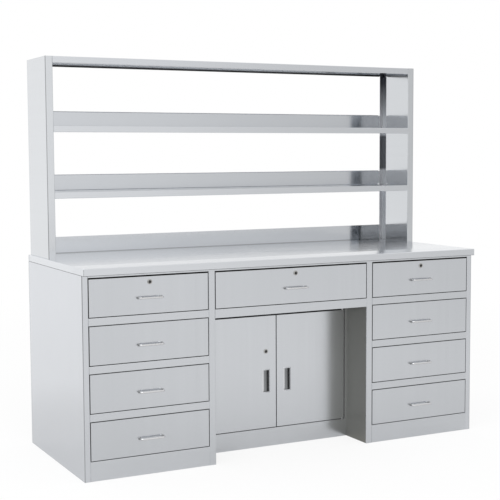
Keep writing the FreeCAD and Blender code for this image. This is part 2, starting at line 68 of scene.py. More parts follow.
MM = 0.001
FRONT_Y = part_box("left_drawer_1_front")[0].y
DOOR_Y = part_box("left_door_panel")[0].y
RACK_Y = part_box("rack_left_side")[0].y
POST_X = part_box("rack_right_side")[1].x
BENCH_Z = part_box("rack_left_side")[0].z
LOWER_SHELF_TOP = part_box("rack_lower_shelf")[1].z
UPPER_SHELF_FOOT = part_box("rack_upper_shelf")[0].z
BACK_Y = CAD_HIGH.y
BEHIND_FRONTS = FRONT_Y + 0.8 * MM
REAR_EDGES_Y = BACK_Y - 22 * MM
FLANGE_Y = BACK_Y - 2 * MM
BACK_SKIN_Y = BACK_Y - 0.5 * MM
# A rounded corner's middle point stands off the corner by this share of the rounding.
MID_ARC = 0.3
Number = Union[float, "Signal"]
Socket = bpy.types.NodeSocket
Colour = tuple[float, float, float]
Stops = Sequence[tuple[float, Colour]]
Tones = tuple[tuple[float, float], ...]
WHITE: Colour = (1.0, 1.0, 1.0)
# Painted shade for the parts of rails and fronts that lie behind the front faces.
PAINTED_GAP_SHADE: Colour = (0.13, 0.135, 0.14)


class Grain(Enum):
    """Direction that a sheet was brushed in."""

    ALONG_WIDTH = 0
    ALONG_DEPTH = 1
    UPRIGHT = 2


class Signal:
    """A number in a shader that the usual maths signs work on."""

    def __init__(self, shader: "Shader", socket: Socket) -> None:
        """Wraps one output socket of a shader."""
        self.shader = shader
        self.socket = socket

    def __add__(self, other: Number) -> "Signal":
        """Sum of two numbers."""
        return self.shader.maths("ADD", self, other)

    def __radd__(self, other: Number) -> "Signal":
        """Sum with a plain number on the left."""
        return self.shader.maths("ADD", other, self)

    def __sub__(self, other: Number) -> "Signal":
        """Difference of two numbers."""
        return self.shader.maths("SUBTRACT", self, other)

    def __rsub__(self, other: Number) -> "Signal":
        """Difference from a plain number."""
        return self.shader.maths("SUBTRACT", other, self)

    def __mul__(self, other: Number) -> "Signal":
        """Product of two numbers."""
        return self.shader.maths("MULTIPLY", self, other)

    def __rmul__(self, other: Number) -> "Signal":
        """Product with a plain number on the left."""
        return self.shader.maths("MULTIPLY", other, self)

    def __truediv__(self, other: Number) -> "Signal":
        """Quotient of two numbers."""
        return self.shader.maths("DIVIDE", self, other)

    def __rtruediv__(self, other: Number) -> "Signal":
        """Quotient of a plain number by this one."""
        return self.shader.maths("DIVIDE", other, self)

    def __pow__(self, other: Number) -> "Signal":
        """This number raised to another."""
        return self.shader.maths("POWER", self, other)

    def __rpow__(self, other: Number) -> "Signal":
        """A plain number raised to this one."""
        return self.shader.maths("POWER", other, self)


class Shader:
    """Node tree of a material or a world, filled by plain calls."""

    def __init__(self, tree: bpy.types.NodeTree) -> None:
        """Empties the tree."""
        self.tree = tree
        tree.nodes.clear()

    def plug(self, socket: Socket, value: object) -> None:
        """Links a socket to a signal or another socket, or sets its value.

        Args:
            socket: the input to fill.
            value: a Signal, an output socket, or a plain value.
        """
        if isinstance(value, Signal):
            value = value.socket
        if isinstance(value, bpy.types.NodeSocket):
            self.tree.links.new(value, socket)
        else:
            socket.default_value = value

    def node(self, kind: str, settings: dict | None = None, inputs: dict | None = None) -> bpy.types.Node:
        """Adds one node.

        Args:
            kind: the node's type.
            settings: its properties; "stops" holds the stops of a colour ramp.
            inputs: values or links by socket name or number.

        Returns:
            The new node.
        """
        node = self.tree.nodes.new(kind)
        for name, value in (settings or {}).items():
            if name == "stops":
                self._set_stops(node, value)
            else:
                setattr(node, name, value)
        for name, value in (inputs or {}).items():
            self.plug(node.inputs[name], value)
        return node

    @staticmethod
    def _set_stops(node: bpy.types.Node, stops: Stops) -> None:
        """Gives a colour ramp its stops.

        Args:
            node: the ramp.
            stops: place and colour of each stop, in order.
        """
        elements = node.color_ramp.elements
        while len(elements) < len(stops):
            elements.new(0.5)
        for element, (place, colour) in zip(elements, stops):
            element.position = place
            element.color = (*colour, 1.0)

    def maths(self, operation: str, first: Number, second: Number = 0.0) -> Signal:
        """Adds a Math node and returns its result."""
        made = self.node("ShaderNodeMath", {"operation": operation}, {0: first, 1: second})
        return Signal(self, made.outputs[0])

    def fenced(self, value: Number, low: float = 0.0, high: float = 1.0) -> Signal:
        """Keeps a number between two limits."""
        return self.maths("MINIMUM", self.maths("MAXIMUM", value, low), high)

    def rough(self, value: Number) -> Signal:
        """Keeps a roughness off a perfect mirror and off chalk."""
        return self.fenced(value, 0.05, 0.9)

    def object_place(self) -> Socket:
        """Place on the piece, in metres."""
        return self.node("ShaderNodeTexCoord").outputs["Object"]

    def parts(self, place: object) -> tuple[Signal, Signal, Signal]:
        """Splits a place into its three numbers."""
        made = self.node("ShaderNodeSeparateXYZ", None, {"Vector": place})
        return tuple(Signal(self, made.outputs[axis]) for axis in "XYZ")

    def painted(self, attribute: str) -> Signal:
        """Reads a number that a piece carries at its points."""
        made = self.node("ShaderNodeAttribute", {"attribute_name": attribute})
        return Signal(self, made.outputs["Fac"])

    def toned(self, value: Number, stops: Stops) -> Socket:
        """Reads a colour off a ramp."""
        made = self.node("ShaderNodeValToRGB", {"stops": stops}, {"Fac": value})
        return made.outputs["Color"]

    def stretched(self, place: Socket, scale: Sequence[float], shift: Sequence[float] = (0, 0, 0)) -> Socket:
        """Scales and moves a place before a pattern reads it."""
        made = self.node("ShaderNodeMapping", None, {"Vector": place, "Scale": scale, "Location": shift})
        return made.outputs["Vector"]

    def noise(self, place: Socket, scale: float, detail: float = 3.0, rough: float = 0.55) -> Signal:
        """Smooth random number about one half.

        Args:
            place: place that the pattern reads.
            scale: patches in a metre of that place.
            detail: layers of finer patches.
            rough: how strongly the finer layers show.

        Returns:
            The number.
        """
        made = self.node("ShaderNodeTexNoise", {"noise_dimensions": "3D"},
                         {"Vector": place, "Scale": scale, "Detail": detail, "Roughness": rough})
        return Signal(self, made.outputs["Fac"])

    def mixed(self, factor: Number, first: Colour | Socket, second: Colour | Socket) -> Socket:
        """Mixes two colours.

        Args:
            factor: how much of the second colour shows.
            first: colour or colour socket.
            second: colour or colour socket.

        Returns:
            The colour socket of the result.
        """
        made = self.node("ShaderNodeMix", {"data_type": "RGBA"},
                         {"Factor": factor, "A": _opaque(first), "B": _opaque(second)})
        return made.outputs["Result"]

    def dimmed(self, colour: Colour | Socket, amount: Number) -> Socket:
        """Multiplies a colour by a number that varies over the surface."""
        made = self.node("ShaderNodeVectorMath", {"operation": "SCALE"}, {0: colour, "Scale": amount})
        return made.outputs["Vector"]

    def bumped(self, height: Number, strength: float, distance: float,
               before: Socket | None = None) -> Socket:
        """Turns a height into a normal.

        Args:
            height: the height over the surface.
            strength: how much of the slope shows.
            distance: metres that a height of one stands for.
            before: normal that the slope is added to.

        Returns:
            The socket of the normal.
        """
        inputs = {"Height": height, "Strength": strength, "Distance": distance}
        if before is not None:
            inputs["Normal"] = before
        return self.node("ShaderNodeBump", None, inputs).outputs["Normal"]

    def surface(self, last: bpy.types.Node) -> None:
        """Makes a node's result the look of the material."""
        self.node("ShaderNodeOutputMaterial", None, {"Surface": last.outputs[0]})


def _opaque(colour: Colour | Socket) -> object:
    """Adds full opacity to a plain colour and leaves sockets alone."""
    return (*colour, 1.0) if isinstance(colour, tuple) else colour


def grey(level: float) -> Colour:
    """Neutral colour of one level."""
    return (level, level, level)


def started_material(name: str) -> tuple[bpy.types.Material, Shader]:
    """Starts a material.

    Args:
        name: name of the material.

    Returns:
        The material and the shader that fills its tree.
    """
    material = bpy.data.materials.new(name)
    material.use_nodes = True
    return material, Shader(material.node_tree)


@dataclass(frozen=True)
class PaintedShadingZone:
    """Zone of a sheet with painted shading, such as painted shade inside a fold and painted light on a
    flange.

    It runs from side to side, starts at one depth and may end at another depth or at two heights.
    """

    behind: float
    tint: Colour
    extra_roughness: float = 0.2
    before: float | None = None
    above: float | None = None
    below: float | None = None
    soft_depth: float = 1.0 * MM
    soft_height: float = 1.0 * MM

    def share(self, shader: Shader, place: Socket) -> Signal:
        """One inside the zone and zero outside it.

        Args:
            shader: tree that gets the nodes.
            place: place on the piece.

        Returns:
            The share of the painted shading.
        """
        _, y, z = shader.parts(place)
        inside = (y - self.behind) / self.soft_depth
        if self.before is not None:
            inside = shader.maths("MINIMUM", inside, (self.before - y) / self.soft_depth)
        if self.above is not None:
            inside = shader.maths("MINIMUM", inside, (z - self.above) / self.soft_height)
        if self.below is not None:
            inside = shader.maths("MINIMUM", inside, (self.below - z) / self.soft_height)
        return shader.fenced(inside)


@dataclass(frozen=True)
class PaintedFoldShade:
    """Upright bends, one on each side, darkened with painted shade."""

    x: float
    y: float
    width: float = 2.4 * MM
    reach_in_widths: float = 1.5
    depth: float = 0.45

    def shade(self, shader: Shader, place: Socket) -> Signal:
        """One away from the bend and less along it.

        Args:
            shader: tree that gets the nodes.
            place: place on the piece.

        Returns:
            The factor for the colour.
        """
        x, y, _ = shader.parts(place)
        off_x = shader.maths("ABSOLUTE", shader.maths("ABSOLUTE", x) - self.x)
        off_y = shader.maths("ABSOLUTE", y - self.y)
        near = shader.fenced(self.reach_in_widths - shader.maths("MAXIMUM", off_x, off_y) / self.width)
        return 1.0 - near * self.depth


@dataclass(frozen=True)
class PaintedRimShade:
    """Outline of a folded front, darkened with painted shade where the sheet turns away.

    The corners are width and height, and each front sets its own.
    """

    low: tuple[float, float] = (0.0, 0.0)
    high: tuple[float, float] = (0.0, 0.0)
    width: float = 1.6 * MM
    depth: float = 0.9

    def shade(self, shader: Shader, place: Socket) -> Signal:
        """One on the flat of the front and less along its outline.

        Args:
            shader: tree that gets the nodes.
            place: place on the piece.

        Returns:
            The factor for the colour.
        """
        x, _, z = shader.parts(place)
        across = shader.maths("MINIMUM", x - self.low[0], self.high[0] - x)
        upward = shader.maths("MINIMUM", z - self.low[1], self.high[1] - z)
        near = shader.fenced(1.0 - shader.maths("MINIMUM", across, upward) / self.width)
        return 1.0 - near * self.depth


@dataclass(frozen=True)
class EasedEdge:
    """Strip along the front of the worktop that eases down towards its edge."""

    start_y: float
    slope: float = 0.05

    def normal(self, shader: Shader, place: Socket, before: Socket) -> Socket:
        """Tilts the normal over the strip.

        Args:
            shader: tree that gets the nodes.
            place: place on the piece.
            before: normal of the grain.

        Returns:
            The tilted normal.
        """
        _, y, _ = shader.parts(place)
        drop = shader.maths("MINIMUM", y - self.start_y, 0.0) * self.slope
        return shader.bumped(drop, 1.0, 1.0, before)


@dataclass(frozen=True)
class BrushedSteel:
    """Stainless sheet with a fine one-way grain, faint bands and hand marks."""

    name: str
    roughness: float
    grain: Grain
    tint: Colour = (0.70, 0.72, 0.75)
    anisotropy: float = 0.5
    sideways_turn: float = 0.25
    hair_scales: tuple[float, float] = (2.0, 2200.0)
    streak_scales: tuple[float, float] = (0.6, 260.0)
    band_scales: tuple[float, float] = (0.3, 40.0)
    cloud_scale: float = 1.7
    smudge_scale: float = 11.0
    smudge_shift: tuple[float, float, float] = (3.1, 1.7, 0.4)
    band_depth: float = 0.035
    streak_depth: float = 0.05
    cloud_depth: float = 0.045
    grain_depth: float = 0.06
    smudge_depth: float = 0.05
    bump: float = 0.03
    hair_height: float = 0.2 * MM
    # Zones of painted shade, and of painted light on one flange.
    painted_zones: tuple[PaintedShadingZone, ...] = ()
    # Painted shade along the bends.
    fold: PaintedFoldShade | None = None
    # Painted shade along a front's outline.
    rim: PaintedRimShade | None = None
    eased: EasedEdge | None = None

    def material(self) -> bpy.types.Material:
        """Builds the material.

        Returns:
            The finished material.
        """
        material, shader = started_material(self.name)
        place = shader.object_place()
        hairs = shader.noise(shader.stretched(place, self._scales(*self.hair_scales)), 1.0, 2.0)
        streaks = shader.noise(shader.stretched(place, self._scales(*self.streak_scales)), 1.0, 3.0)
        bands = shader.noise(shader.stretched(place, self._scales(*self.band_scales)), 1.0, 2.0)
        clouds = shader.noise(place, self.cloud_scale, 2.0)
        smudges = shader.noise(shader.stretched(place, (1, 1, 1), self.smudge_shift), self.smudge_scale, 4.0)
        shine = 1.0 + (bands - 0.5) * self.band_depth + (streaks - 0.5) * self.streak_depth
        shine = shine + (clouds - 0.5) * self.cloud_depth
        # Painted shade along bends and outlines.
        if self.fold:
            shine = shine * self.fold.shade(shader, place)
        if self.rim:
            shine = shine * self.rim.shade(shader, place)
        roughness = self.roughness + (streaks - 0.5) * self.grain_depth + (smudges - 0.5) * self.smudge_depth
        colour = shader.dimmed(self.tint, shine)
        # Painted shading zones: painted shade in folds and gaps, painted light on one flange.
        for painted_zone in self.painted_zones:
            share = painted_zone.share(shader, place)
            colour = shader.mixed(share, colour, painted_zone.tint)
            roughness = roughness + share * painted_zone.extra_roughness
        normal = shader.bumped(hairs, self.bump, self.hair_height)
        if self.eased:
            normal = self.eased.normal(shader, place, normal)
        shader.surface(shader.node("ShaderNodeBsdfPrincipled", None, {
            "Base Color": colour,
            "Metallic": 1.0,
            "Roughness": shader.rough(roughness),
            "Anisotropic": self.anisotropy,
            "Anisotropic Rotation": 0.0 if self.grain is Grain.UPRIGHT else self.sideways_turn,
            "Normal": normal,
        }))
        return material

    def _scales(self, along: float, across: float) -> list[float]:
        """Pattern scales with the slow direction along the grain.

        Args:
            along: scale along the grain.
            across: scale across it.

        Returns:
            The scale of each axis.
        """
        scales = [across, across, across]
        scales[self.grain.value] = along
        return scales


@dataclass(frozen=True)
class PolishedMetal:
    """Plated or polished fitting with faint casting waves and fingerprints."""

    name: str
    tint: Colour
    roughness: float
    print_scale: float = 220.0
    print_depth: float = 0.12
    wear_scale: float = 60.0
    wear_depth: float = 0.12
    wave: float = 0.02
    wave_height: float = 0.6 * MM

    def material(self) -> bpy.types.Material:
        """Builds the material.

        Returns:
            The finished material.
        """
        material, shader = started_material(self.name)
        place = shader.object_place()
        prints = shader.noise(place, self.print_scale, 4.0, 0.6)
        worn = shader.noise(place, self.wear_scale)
        shader.surface(shader.node("ShaderNodeBsdfPrincipled", None, {
            "Base Color": shader.dimmed(self.tint, 1.0 + (worn - 0.5) * self.wear_depth),
            "Metallic": 1.0,
            "Roughness": shader.rough(self.roughness + (prints - 0.5) * self.print_depth),
            "Normal": shader.bumped(worn, self.wave, self.wave_height),
        }))
        return material


@dataclass(frozen=True)
class PressedCup:
    """Pressed steel with painted light and shade across its hollow, pale at the open edge and dark towards
    the finger edge.
    """

    name: str
    stops: tuple[tuple[float, Colour], ...]
    roughness: float = 0.28
    mark_scales: tuple[float, float, float] = (900.0, 900.0, 25.0)
    mark_depth: float = 0.2
    mark_bump: float = 0.05
    mark_height: float = 0.3 * MM
    print_scale: float = 160.0
    print_depth: float = 0.1

    def material(self) -> bpy.types.Material:
        """Builds the material.

        Returns:
            The finished material.
        """
        material, shader = started_material(self.name)
        place = shader.object_place()
        draw_marks = shader.noise(shader.stretched(place, self.mark_scales), 1.0, 2.0)
        prints = shader.noise(place, self.print_scale, 4.0)
        # Painted light and shade across the cup, read off a ramp.
        hollow = shader.toned(shader.painted("across"), self.stops)
        shader.surface(shader.node("ShaderNodeBsdfPrincipled", None, {
            "Base Color": shader.dimmed(hollow, 1.0 + (draw_marks - 0.5) * self.mark_depth),
            "Metallic": 1.0,
            "Roughness": shader.rough(self.roughness + (prints - 0.5) * self.print_depth),
            "Normal": shader.bumped(draw_marks, self.mark_bump, self.mark_height),
        }))
        return material


@dataclass(frozen=True)
class PressedBoard:
    """Chipboard under a dark sealing coat that its flakes show through."""

    name: str
    pale: Colour
    dark: Colour
    roughness: float = 0.7
    flake_scales: tuple[float, float, float] = (1.0, 2.5, 4.0)
    flake_scale: float = 320.0
    flake_start: float = 0.38
    flake_contrast: float = 4.0
    dust_scale: float = 900.0
    dust_depth: float = 0.3
    dust_bump: float = 0.25
    dust_height: float = 0.5 * MM

    def material(self) -> bpy.types.Material:
        """Builds the material.

        Returns:
            The finished material.
        """
        material, shader = started_material(self.name)
        place = shader.object_place()
        flakes = shader.noise(shader.stretched(place, self.flake_scales), self.flake_scale, 4.0, 0.7)
        dust = shader.noise(place, self.dust_scale, 2.0)
        shown = shader.fenced((flakes - self.flake_start) * self.flake_contrast)
        shader.surface(shader.node("ShaderNodeBsdfPrincipled", None, {
            "Base Color": shader.mixed(shown, self.dark, self.pale),
            "Roughness": shader.rough(self.roughness + (dust - 0.5) * self.dust_depth),
            "Normal": shader.bumped(dust, self.dust_bump, self.dust_height),
        }))
        return material


@dataclass(frozen=True)
class Palette:
    """Every finish of the cabinet, made once and shared."""

    worktop: BrushedSteel = BrushedSteel(
        "worktop_satin", 0.19, Grain.ALONG_WIDTH, tint=(0.75, 0.77, 0.80),
        eased=EasedEdge(FRONT_Y + 108 * MM),
        # Painted shade: a darker strip along the rear edge and a dark line in the crease at the foot of the
        # back.
        painted_zones=(PaintedShadingZone(REAR_EDGES_Y, (0.66, 0.68, 0.71), -0.08),
                  PaintedShadingZone(BACK_Y - 7 * MM, (0.46, 0.475, 0.49), 0.0,
                         above=BENCH_Z - 2 * MM, below=BENCH_Z + 4 * MM)))
    # Painted shade: a darker strip along the rear edge of the decks.
    shelf: BrushedSteel = BrushedSteel(
        "shelf_satin", 0.11, Grain.ALONG_WIDTH, painted_zones=(PaintedShadingZone(REAR_EDGES_Y, (0.64, 0.66, 0.69), 0.05),))
    # Painted shade: near black inside the rear lip of the canopy.
    canopy: BrushedSteel = BrushedSteel(
        "canopy_satin", 0.14, Grain.ALONG_WIDTH,
        painted_zones=(PaintedShadingZone(BACK_Y - 13 * MM, (0.05, 0.052, 0.055), before=BACK_SKIN_Y,
                         below=CAD_HIGH.z - 12 * MM, soft_depth=0.4 * MM, soft_height=5 * MM),))
    # Painted shade at the front bend of each post.
    post: BrushedSteel = BrushedSteel(
        "post_satin", 0.12, Grain.ALONG_DEPTH, tint=(0.69, 0.71, 0.735), fold=PaintedFoldShade(POST_X, RACK_Y),
        # Rear flange: a pale rough strip as painted light, then painted shade darkest at the top of the top
        # bay and over the middle bay.
        painted_zones=(PaintedShadingZone(FLANGE_Y, (0.93, 0.94, 0.96), 0.42, before=BACK_SKIN_Y, soft_depth=0.4 * MM),
                  PaintedShadingZone(FLANGE_Y, (0.10, 0.105, 0.12), 0.0, before=BACK_SKIN_Y,
                         above=CAD_HIGH.z - 225 * MM, soft_depth=0.4 * MM, soft_height=170 * MM),
                  PaintedShadingZone(FLANGE_Y, (0.24, 0.245, 0.26), 0.0, before=BACK_SKIN_Y,
                         above=LOWER_SHELF_TOP, below=UPPER_SHELF_FOOT,
                         soft_depth=0.4 * MM, soft_height=12 * MM)))
    # Lighter tint than the other sheets: painted light on the outer sides. Painted shade at the front bend.
    side: BrushedSteel = BrushedSteel(
        "side_satin", 0.22, Grain.UPRIGHT, tint=(0.73, 0.75, 0.785), fold=PaintedFoldShade(CAD_HIGH.x, FRONT_Y))
    # Painted shade on the kneehole walls behind the front stiles.
    inner_side: BrushedSteel = BrushedSteel(
        "inner_side_satin", 0.22, Grain.UPRIGHT, painted_zones=(PaintedShadingZone(FRONT_Y + 3 * MM, (0.30, 0.30, 0.28)),))
    # Painted shade on the rails behind the front faces.
    rail: BrushedSteel = BrushedSteel(
        "rail_satin", 0.22, Grain.ALONG_WIDTH, painted_zones=(PaintedShadingZone(BEHIND_FRONTS, PAINTED_GAP_SHADE),))
    # Painted shade along each front's outline and behind its face.
    front: BrushedSteel = BrushedSteel(
        "front_satin", 0.24, Grain.UPRIGHT, rim=PaintedRimShade(), painted_zones=(PaintedShadingZone(BEHIND_FRONTS, PAINTED_GAP_SHADE),))
    # Painted shade on the door edges behind the door face.
    door: BrushedSteel = BrushedSteel(
        "door_satin", 0.22, Grain.UPRIGHT, tint=(0.72, 0.74, 0.77),
        painted_zones=(PaintedShadingZone(DOOR_Y + 2.2 * MM, (0.62, 0.63, 0.65)),))
    # Rougher interior steel with a darker tint that is painted shade inside the carcass and drawers.
    inner: BrushedSteel = BrushedSteel("inner_satin", 0.42, Grain.ALONG_DEPTH, (0.62, 0.63, 0.64))
    fitting: PolishedMetal = PolishedMetal("bright_fitting", (0.74, 0.74, 0.75), 0.16)
    # Darker feet and legs of the bow handles: painted dark reflection.
    foot: PolishedMetal = PolishedMetal("foot_painted_shade", (0.44, 0.445, 0.45), 0.30)
    bezel: PolishedMetal = PolishedMetal("nickel_bezel", (0.52, 0.515, 0.50), 0.26)
    # Near-black plug: painted shade of the keyhole.
    keyway: PolishedMetal = PolishedMetal("plug_painted_shade", grey(0.07), 0.30)
    # Ramp of painted light and shade across the cup: pale at one edge, dark across the rest.
    cup: PressedCup = PressedCup("cup_painted_shading", ((0.0, (0.97, 0.98, 1.0)), (0.3, (0.85, 0.86, 0.88)),
                                                 (0.5, (0.22, 0.23, 0.24)), (0.6, (0.30, 0.31, 0.32)),
                                                 (0.75, (0.19, 0.195, 0.20)), (1.0, (0.16, 0.165, 0.17))))
    board: PressedBoard = PressedBoard("sealed_board", grey(0.10), grey(0.05))


class Wardrobe:
    """Builds each finish of the palette the first time a piece asks for it."""

    def __init__(self, palette: Palette) -> None:
        """Keeps the palette."""
        self.palette = palette
        self.made: dict[str, bpy.types.Material] = {}

    def get(self, finish: str) -> bpy.types.Material:
        """Material of one named finish.

        Args:
            finish: field of the palette, or a front's own copy.

        Returns:
            The material, built once.
        """
        if finish not in self.made:
            self.made[finish] = getattr(self.palette, finish).material()
        return self.made[finish]

    def dress_node(self, node: str, finish: str) -> None:
        """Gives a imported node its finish.

        Args:
            node: name of the node.
            finish: field of the palette.
        """
        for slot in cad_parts[node].material_slots:
            slot.link = "OBJECT"
            slot.material = self.get(finish)
        LOG.info("dressed %s as %s", node, finish)

    def dress_front(self, node: str, finish: str) -> None:
        """Gives a folded front its own copy of a finish, with painted shade along a rim that follows its
        outline.

        Args:
            node: name of the node.
            finish: field of the palette.
        """
        low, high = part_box(node)
        steel = getattr(self.palette, finish)
        rim = replace(steel.rim, low=(low.x, low.z), high=(high.x, high.z))
        own = f"{node}_{finish}"
        self.made[own] = replace(steel, name=f"{node}_satin", rim=rim).material()
        self.dress_node(node, own)

    def dress_piece(self, piece: bpy.types.Object, finish: str) -> None:
        """Gives a new piece its finish."""
        piece.data.materials.append(self.get(finish))


def finished_piece(name: str, work: bmesh.types.BMesh, smooth_angle: float = 32.0,
                   merge: float = 1e-7) -> bpy.types.Object:
    """Turns a bmesh into an object at the origin, shaded smooth up to an angle.

    Args:
        name: name of the piece.
        work: the finished mesh work, freed here.
        smooth_angle: edges sharper than this many degrees stay sharp.
        merge: points closer than this many metres become one.

    Returns:
        The new object, linked to the scene.
    """
    bmesh.ops.remove_doubles(work, verts=work.verts, dist=merge)
    bmesh.ops.recalc_face_normals(work, faces=work.faces)
    limit = math.radians(smooth_angle)
    for face in work.faces:
        face.smooth = True
    for edge in work.edges:
        edge.smooth = edge.is_manifold and edge.calc_face_angle(0.0) < limit
    mesh = bpy.data.meshes.new(name)
    work.to_mesh(mesh)
    work.free()
    piece = bpy.data.objects.new(name, mesh)
    bpy.context.scene.collection.objects.link(piece)
    return piece


def bevelled(work: bmesh.types.BMesh, edges: Iterable[bmesh.types.BMEdge], width: float, steps: int) -> None:
    """Rounds edges of a mesh in work.

    Args:
        work: the mesh.
        edges: edges to round.
        width: distance from the edge to where the rounding starts.
        steps: faces across the rounding.
    """
    bmesh.ops.bevel(work, geom=list(edges), offset=width, offset_type="OFFSET", segments=steps,
                    profile=0.5, affect="EDGES", material=-1)


def turned(work: bmesh.types.BMesh, profile: Sequence[tuple[float, float]], axis_point: Vector,
           steps: int) -> None:
    """Turns a closed profile round an axis that runs along the depth.

    Args:
        work: mesh that receives the turned shape.
        profile: (radius, depth) pairs in order round the section.
        axis_point: point of the axis at depth zero.
        steps: faces round the full turn.
    """
    points = [work.verts.new(axis_point + Vector((radius, depth, 0.0))) for radius, depth in profile]
    edges = [work.edges.new((a, b)) for a, b in zip(points, points[1:] + points[:1])]
    bmesh.ops.spin(work, geom=points + edges, cent=axis_point, axis=(0, 1, 0), dvec=(0, 0, 0),
                   angle=2 * math.pi, steps=steps, use_merge=True, use_normal_flip=False,
                   use_duplicate=False)


@dataclass
class BowHandle:
    """Bow handle of round bar with a small foot at each end."""

    rod: float = 8.0 * MM
    centres: float = 96.0 * MM
    bend: float = 7.0 * MM
    foot: float = 12.0 * MM
    foot_height: float = 2.0 * MM
    foot_rounding: float = 0.6 * MM
    foot_sides: int = 32
    tuck: float = 0.2 * MM
    sides: int = 28
    bend_steps: int = 9

    def build(self, drawer: str, wardrobe: Wardrobe) -> bpy.types.Object:
        """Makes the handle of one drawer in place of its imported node.

        Args:
            drawer: name of the drawer, which is also its body.
            wardrobe: source of the finishes.

        Returns:
            The new piece.
        """
        low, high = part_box(drawer + "_handle")
        middle = (low + high) / 2
        work = bmesh.new()
        self._sweep(work, middle.x, low.y, high.y, middle.z)
        for side in (-1, 1):
            self._foot(work, Vector((middle.x + side * self.centres / 2, high.y, middle.z)))
        # Legs and feet take the darker foot finish, which is a painted dark reflection.
        for face in work.faces:
            face.material_index = int(face.calc_center_median().y > low.y + self.rod + self.bend / 2)
        piece = finished_piece(drawer + "_bow_handle", work)
        wardrobe.dress_piece(piece, "fitting")
        wardrobe.dress_piece(piece, "foot")
        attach(piece, drawer)
        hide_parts(drawer + "_handle")
        return piece

    def _sweep(self, work: bmesh.types.BMesh, x: float, front: float, back: float, z: float) -> None:
        """Sweeps the bar: leg, bend, straight, bend, leg.

        Args:
            work: mesh that receives the bar.
            x: middle of the handle.
            front: depth of the bar's outermost point.
            back: depth of the drawer's face.
            z: height of the bar.
        """
        half = self.centres / 2
        bend_y = front + self.rod / 2 + self.bend
        start = Matrix.Translation((x - half, back, z)) @ Matrix.Rotation(math.pi / 2, 4, "X")
        bmesh.ops.create_circle(work, cap_ends=False, segments=self.sides, radius=self.rod / 2, matrix=start)
        ring = list(work.verts)
        ring = self._straight(work, ring, Vector((0, bend_y - back, 0)))
        ring = self._corner(work, ring, Vector((x - half + self.bend, bend_y, z)))
        ring = self._straight(work, ring, Vector((self.centres - 2 * self.bend, 0, 0)))
        ring = self._corner(work, ring, Vector((x + half - self.bend, bend_y, z)))
        self._straight(work, ring, Vector((0, back - bend_y, 0)))

    @staticmethod
    def _loop(work: bmesh.types.BMesh, ring: Sequence[bmesh.types.BMVert]) -> list[bmesh.types.BMEdge]:
        """Edges that join the points of a ring."""
        members = set(ring)
        return [edge for edge in work.edges if edge.verts[0] in members and edge.verts[1] in members]

    def _straight(self, work: bmesh.types.BMesh, ring: Sequence[bmesh.types.BMVert],
                  run: Vector) -> list[bmesh.types.BMVert]:
        """Carries the ring along a straight run.

        Args:
            work: mesh that holds the ring.
            ring: points of the open end.
            run: how far the end moves.

        Returns:
            The points of the new end.
        """
        grown = bmesh.ops.extrude_edge_only(work, edges=self._loop(work, ring))["geom"]
        fresh = [item for item in grown if isinstance(item, bmesh.types.BMVert)]
        bmesh.ops.translate(work, verts=fresh, vec=run)
        return fresh

    def _corner(self, work: bmesh.types.BMesh, ring: Sequence[bmesh.types.BMVert],
                centre: Vector) -> list[bmesh.types.BMVert]:
        """Carries the ring round a quarter bend.

        Args:
            work: mesh that holds the ring.
            ring: points of the open end.
            centre: point that the bend goes round.

        Returns:
            The points of the new end.
        """
        last = bmesh.ops.spin(work, geom=list(ring) + self._loop(work, ring), cent=centre, axis=(0, 0, 1),
                              dvec=(0, 0, 0), angle=math.pi / 2, steps=self.bend_steps, use_merge=False,
                              use_normal_flip=False, use_duplicate=False)["geom_last"]
        return [item for item in last if isinstance(item, bmesh.types.BMVert)]

    def _foot(self, work: bmesh.types.BMesh, place: Vector) -> None:
        """Adds a small round foot with a softened rim.

        Args:
            work: mesh that receives the foot.
            place: middle of the foot, on the drawer's face.
        """
        radius = self.foot / 2
        soft = self.foot_rounding
        top = -self.foot_height
        inner = self.rod / 2 - self.tuck
        profile = [(inner, 0.0), (radius, 0.0), (radius, top + soft),
                   (radius - soft * MID_ARC, top + soft * MID_ARC), (radius - soft, top), (inner, top)]
        turned(work, profile, place, self.foot_sides)


@dataclass
class CamLock:
    """Cam lock housing: a rounded bezel on a barrel with a nut behind the sheet."""

    bezel: float = 10.0 * MM
    bezel_height: float = 2.0 * MM
    bezel_rounding: float = 0.8 * MM
    bore_rounding: float = 0.3 * MM
    barrel: float = 7.5 * MM
    bore: float = 6.05 * MM
    nut: float = 11.5 * MM
    sheet: float = 1.2 * MM
    nut_height: float = 4.0 * MM
    tuck: float = 0.2 * MM
    sides: int = 48

    def build(self, owner: str, wardrobe: Wardrobe) -> bpy.types.Object:
        """Makes one lock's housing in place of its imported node.

        Args:
            owner: name of the drawer or door, which is also its body.
            wardrobe: source of the finishes.

        Returns:
            The new piece.
        """
        node = owner + "_lock_housing"
        low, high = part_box(node)
        middle = (low + high) / 2
        face = low.y + self.bezel_height
        work = bmesh.new()
        soft = self.bezel_rounding
        front = -self.bezel_height
        end = high.y - face
        profile = [(self.bore, end), (self.bore, front + self.bore_rounding),
                   (self.bore + self.bore_rounding, front), (self.bezel - soft, front),
                   (self.bezel - soft * MID_ARC, front + soft * MID_ARC), (self.bezel, front + soft),
                   (self.bezel, 0.0), (self.barrel, 0.0), (self.barrel, end)]
        turned(work, profile, Vector((middle.x, face, middle.z)), self.sides)
        self._add_nut(work, Vector((middle.x, face + self.sheet, middle.z)))
        piece = finished_piece(owner + "_lock_bezel", work)
        wardrobe.dress_piece(piece, "bezel")
        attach(piece, owner)
        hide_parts(node)
        return piece

    def _add_nut(self, work: bmesh.types.BMesh, place: Vector) -> None:
        """Adds the hexagonal nut round the barrel.

        Args:
            work: mesh that receives the nut.
            place: middle of the nut, on the back of the sheet.
        """
        inner = self.barrel - self.tuck
        section = [(inner, 0.0), (self.nut, 0.0), (self.nut, self.nut_height), (inner, self.nut_height)]
        turned(work, section, place, steps=6)


